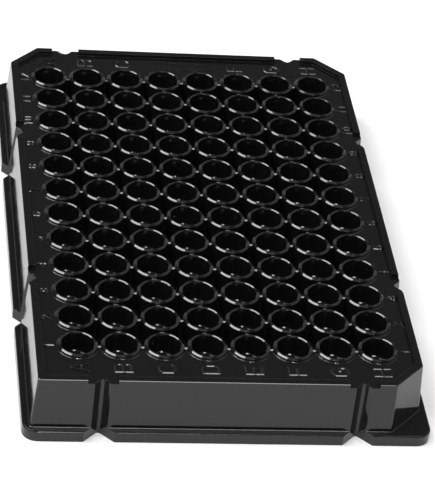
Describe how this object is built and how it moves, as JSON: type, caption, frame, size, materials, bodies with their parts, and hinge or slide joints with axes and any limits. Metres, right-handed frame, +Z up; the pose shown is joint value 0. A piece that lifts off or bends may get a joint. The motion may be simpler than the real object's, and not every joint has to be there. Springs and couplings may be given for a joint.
{
  "type": "well plate",
  "caption": "One-piece black laboratory well plate: a skirted frame with a grid of open flat-bottomed wells, a raised lip, notched sides and bevelled corners.",
  "frame": {"origin": "middle of the underside, on the surface that the plate stands on", "axes": "+X along the length from column 1 to column 12, +Y across the width from row H to row A, +Z up out of the wells"},
  "size_m": [0.1278, 0.0854, 0.0143],
  "materials": {
    "black_plastic": "glossy, moulded black polystyrene"
  },
  "bodies": {
    "root": {"well_plate": "black_plastic"}
  },
  "joints": []
}
